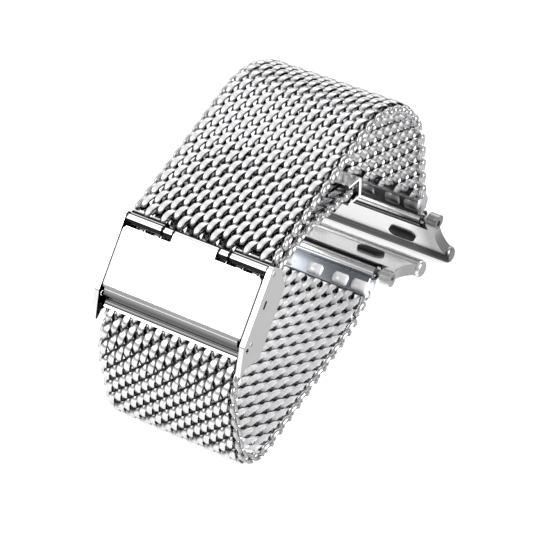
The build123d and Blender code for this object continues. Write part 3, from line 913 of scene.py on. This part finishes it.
def dressNodes():
    for name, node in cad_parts.items():
        byWord = [finish for word, finish in finishOfWord.items() if word in name]
        finish = finishOfNode.get(name) or (byWord or [steels["polishedSteel"]])[0]
        if not node.data.materials:
            node.data.materials.append(finish)
        for index in range(len(node.data.materials)):
            node.data.materials[index] = finish


dressNodes()
print("packed pieces dressed")

# Stage: pale floor, soft lamps, and a camera at the angle of the picture
stageLook = {
    "floorColour": (0.50, 0.50, 0.50),
    "floorGlow": 0.78,
    "floorRoughness": 0.7,
    "floorSize": 1.6,
    "floorPlace": (0, 0.1, -0.00002),
    "world": (0.42, 0.42, 0.43),
    "worldStrength": 1.0,
}


def makeStage():
    deselectAll()
    bpy.ops.mesh.primitive_plane_add(size=stageLook["floorSize"], location=stageLook["floorPlace"])
    floor = bpy.context.object
    floor.name = "floor"
    placeInMesh(floor)
    finish, nodes, links, shader = newFinish(
        "floorPaper", stageLook["floorColour"], 0.0, stageLook["floorRoughness"])
    shader.inputs["Emission Color"].default_value = (1, 1, 1, 1)
    path = nodes.new("ShaderNodeLightPath").outputs
    seen = combined(nodes, links, "MAXIMUM", path["Is Camera Ray"], path["Is Glossy Ray"])
    seen = combined(nodes, links, "MAXIMUM", seen, path["Is Transmission Ray"])
    glow = nodes.new("ShaderNodeMath")
    glow.operation = "MULTIPLY"
    links.new(seen, glow.inputs[0])
    glow.inputs[1].default_value = stageLook["floorGlow"]
    links.new(glow.outputs[0], shader.inputs["Emission Strength"])
    floor.data.materials.append(finish)


# Places and sizes in metres, power in watts
lamps = {
    "keyLamp": {"place": (-0.34, -0.02, 0.56), "size": (1.0, 0.5), "power": 0.95},
    "frontLamp": {"place": (-0.30, -0.42, 0.42), "size": (0.4, 0.35), "power": 1.4},
    "backLamp": {"place": (-0.10, 0.55, 0.45), "size": (0.8, 0.4), "power": 1.25},
    "sideLamp": {"place": (0.55, 0.05, 0.25), "size": (0.3, 0.4), "power": 4.4},
}
lampAim = (0, 0, 0.016)


def makeLamp(name, place, size, power):
    light = bpy.data.lights.new(name, "AREA")
    light.shape = "RECTANGLE"
    light.size, light.size_y = size
    light.energy = power
    lamp = bpy.data.objects.new(name, light)
    bpy.context.scene.collection.objects.link(lamp)
    lamp.location = place
    lamp.rotation_mode = "QUATERNION"
    lamp.rotation_quaternion = (Vector(lampAim) - Vector(place)).to_track_quat("-Z", "Y")


def makeLights():
    for name, lamp in lamps.items():
        makeLamp(name, **lamp)
    world = bpy.data.worlds.new("room")
    world.use_nodes = True
    background = world.node_tree.nodes["Background"]
    background.inputs["Color"].default_value = (*stageLook["world"], 1)
    background.inputs["Strength"].default_value = stageLook["worldStrength"]
    bpy.context.scene.world = world


cameraLook = {
    "azimuth": 35.0,
    "elevation": 33.24,
    "tilt": 11.7,
    "distance": 0.3,
    "sensor": 36,
    "focal": 2567.0,         # in pixels of a picture that is so many across
    "across": 533.0,
    "target": (0.0, -0.011157, 0.02668),
    "offset": (61.1, 28.9),  # of the middle of the picture, in the same pixels
    "nearest": 0.01,
    "farthest": 5,
}


def makeCamera():
    azimuth = math.radians(cameraLook["azimuth"])
    elevation = math.radians(cameraLook["elevation"])
    tilt = Matrix.Rotation(-math.radians(cameraLook["tilt"]), 3, "X")
    level = math.cos(elevation)
    back = tilt @ Vector((math.sin(azimuth) * level, -math.cos(azimuth) * level, math.sin(elevation)))
    right = tilt @ Vector((math.cos(azimuth), math.sin(azimuth), 0))
    up = back.cross(right)
    offset = cameraLook["offset"]
    ahead = (-cameraLook["focal"] * back + offset[0] * right - offset[1] * up).normalized()
    right = ahead.cross(up).normalized()
    up = right.cross(ahead)
    camera = bpy.data.cameras.new("camera")
    camera.sensor_width = cameraLook["sensor"]
    camera.lens = cameraLook["focal"] / cameraLook["across"] * cameraLook["sensor"]
    camera.clip_start = cameraLook["nearest"]
    camera.clip_end = cameraLook["farthest"]
    holder = bpy.data.objects.new("camera", camera)
    bpy.context.scene.collection.objects.link(holder)
    turn = Matrix((right, up, -ahead)).transposed().to_4x4()
    place = Vector(cameraLook["target"]) + cameraLook["distance"] * back
    holder.matrix_world = Matrix.Translation(place) @ turn
    bpy.context.scene.camera = holder


makeStage()
makeLights()
makeCamera()
bpy.context.scene.view_settings.view_transform = "Standard"
print("stage, lights and camera made")
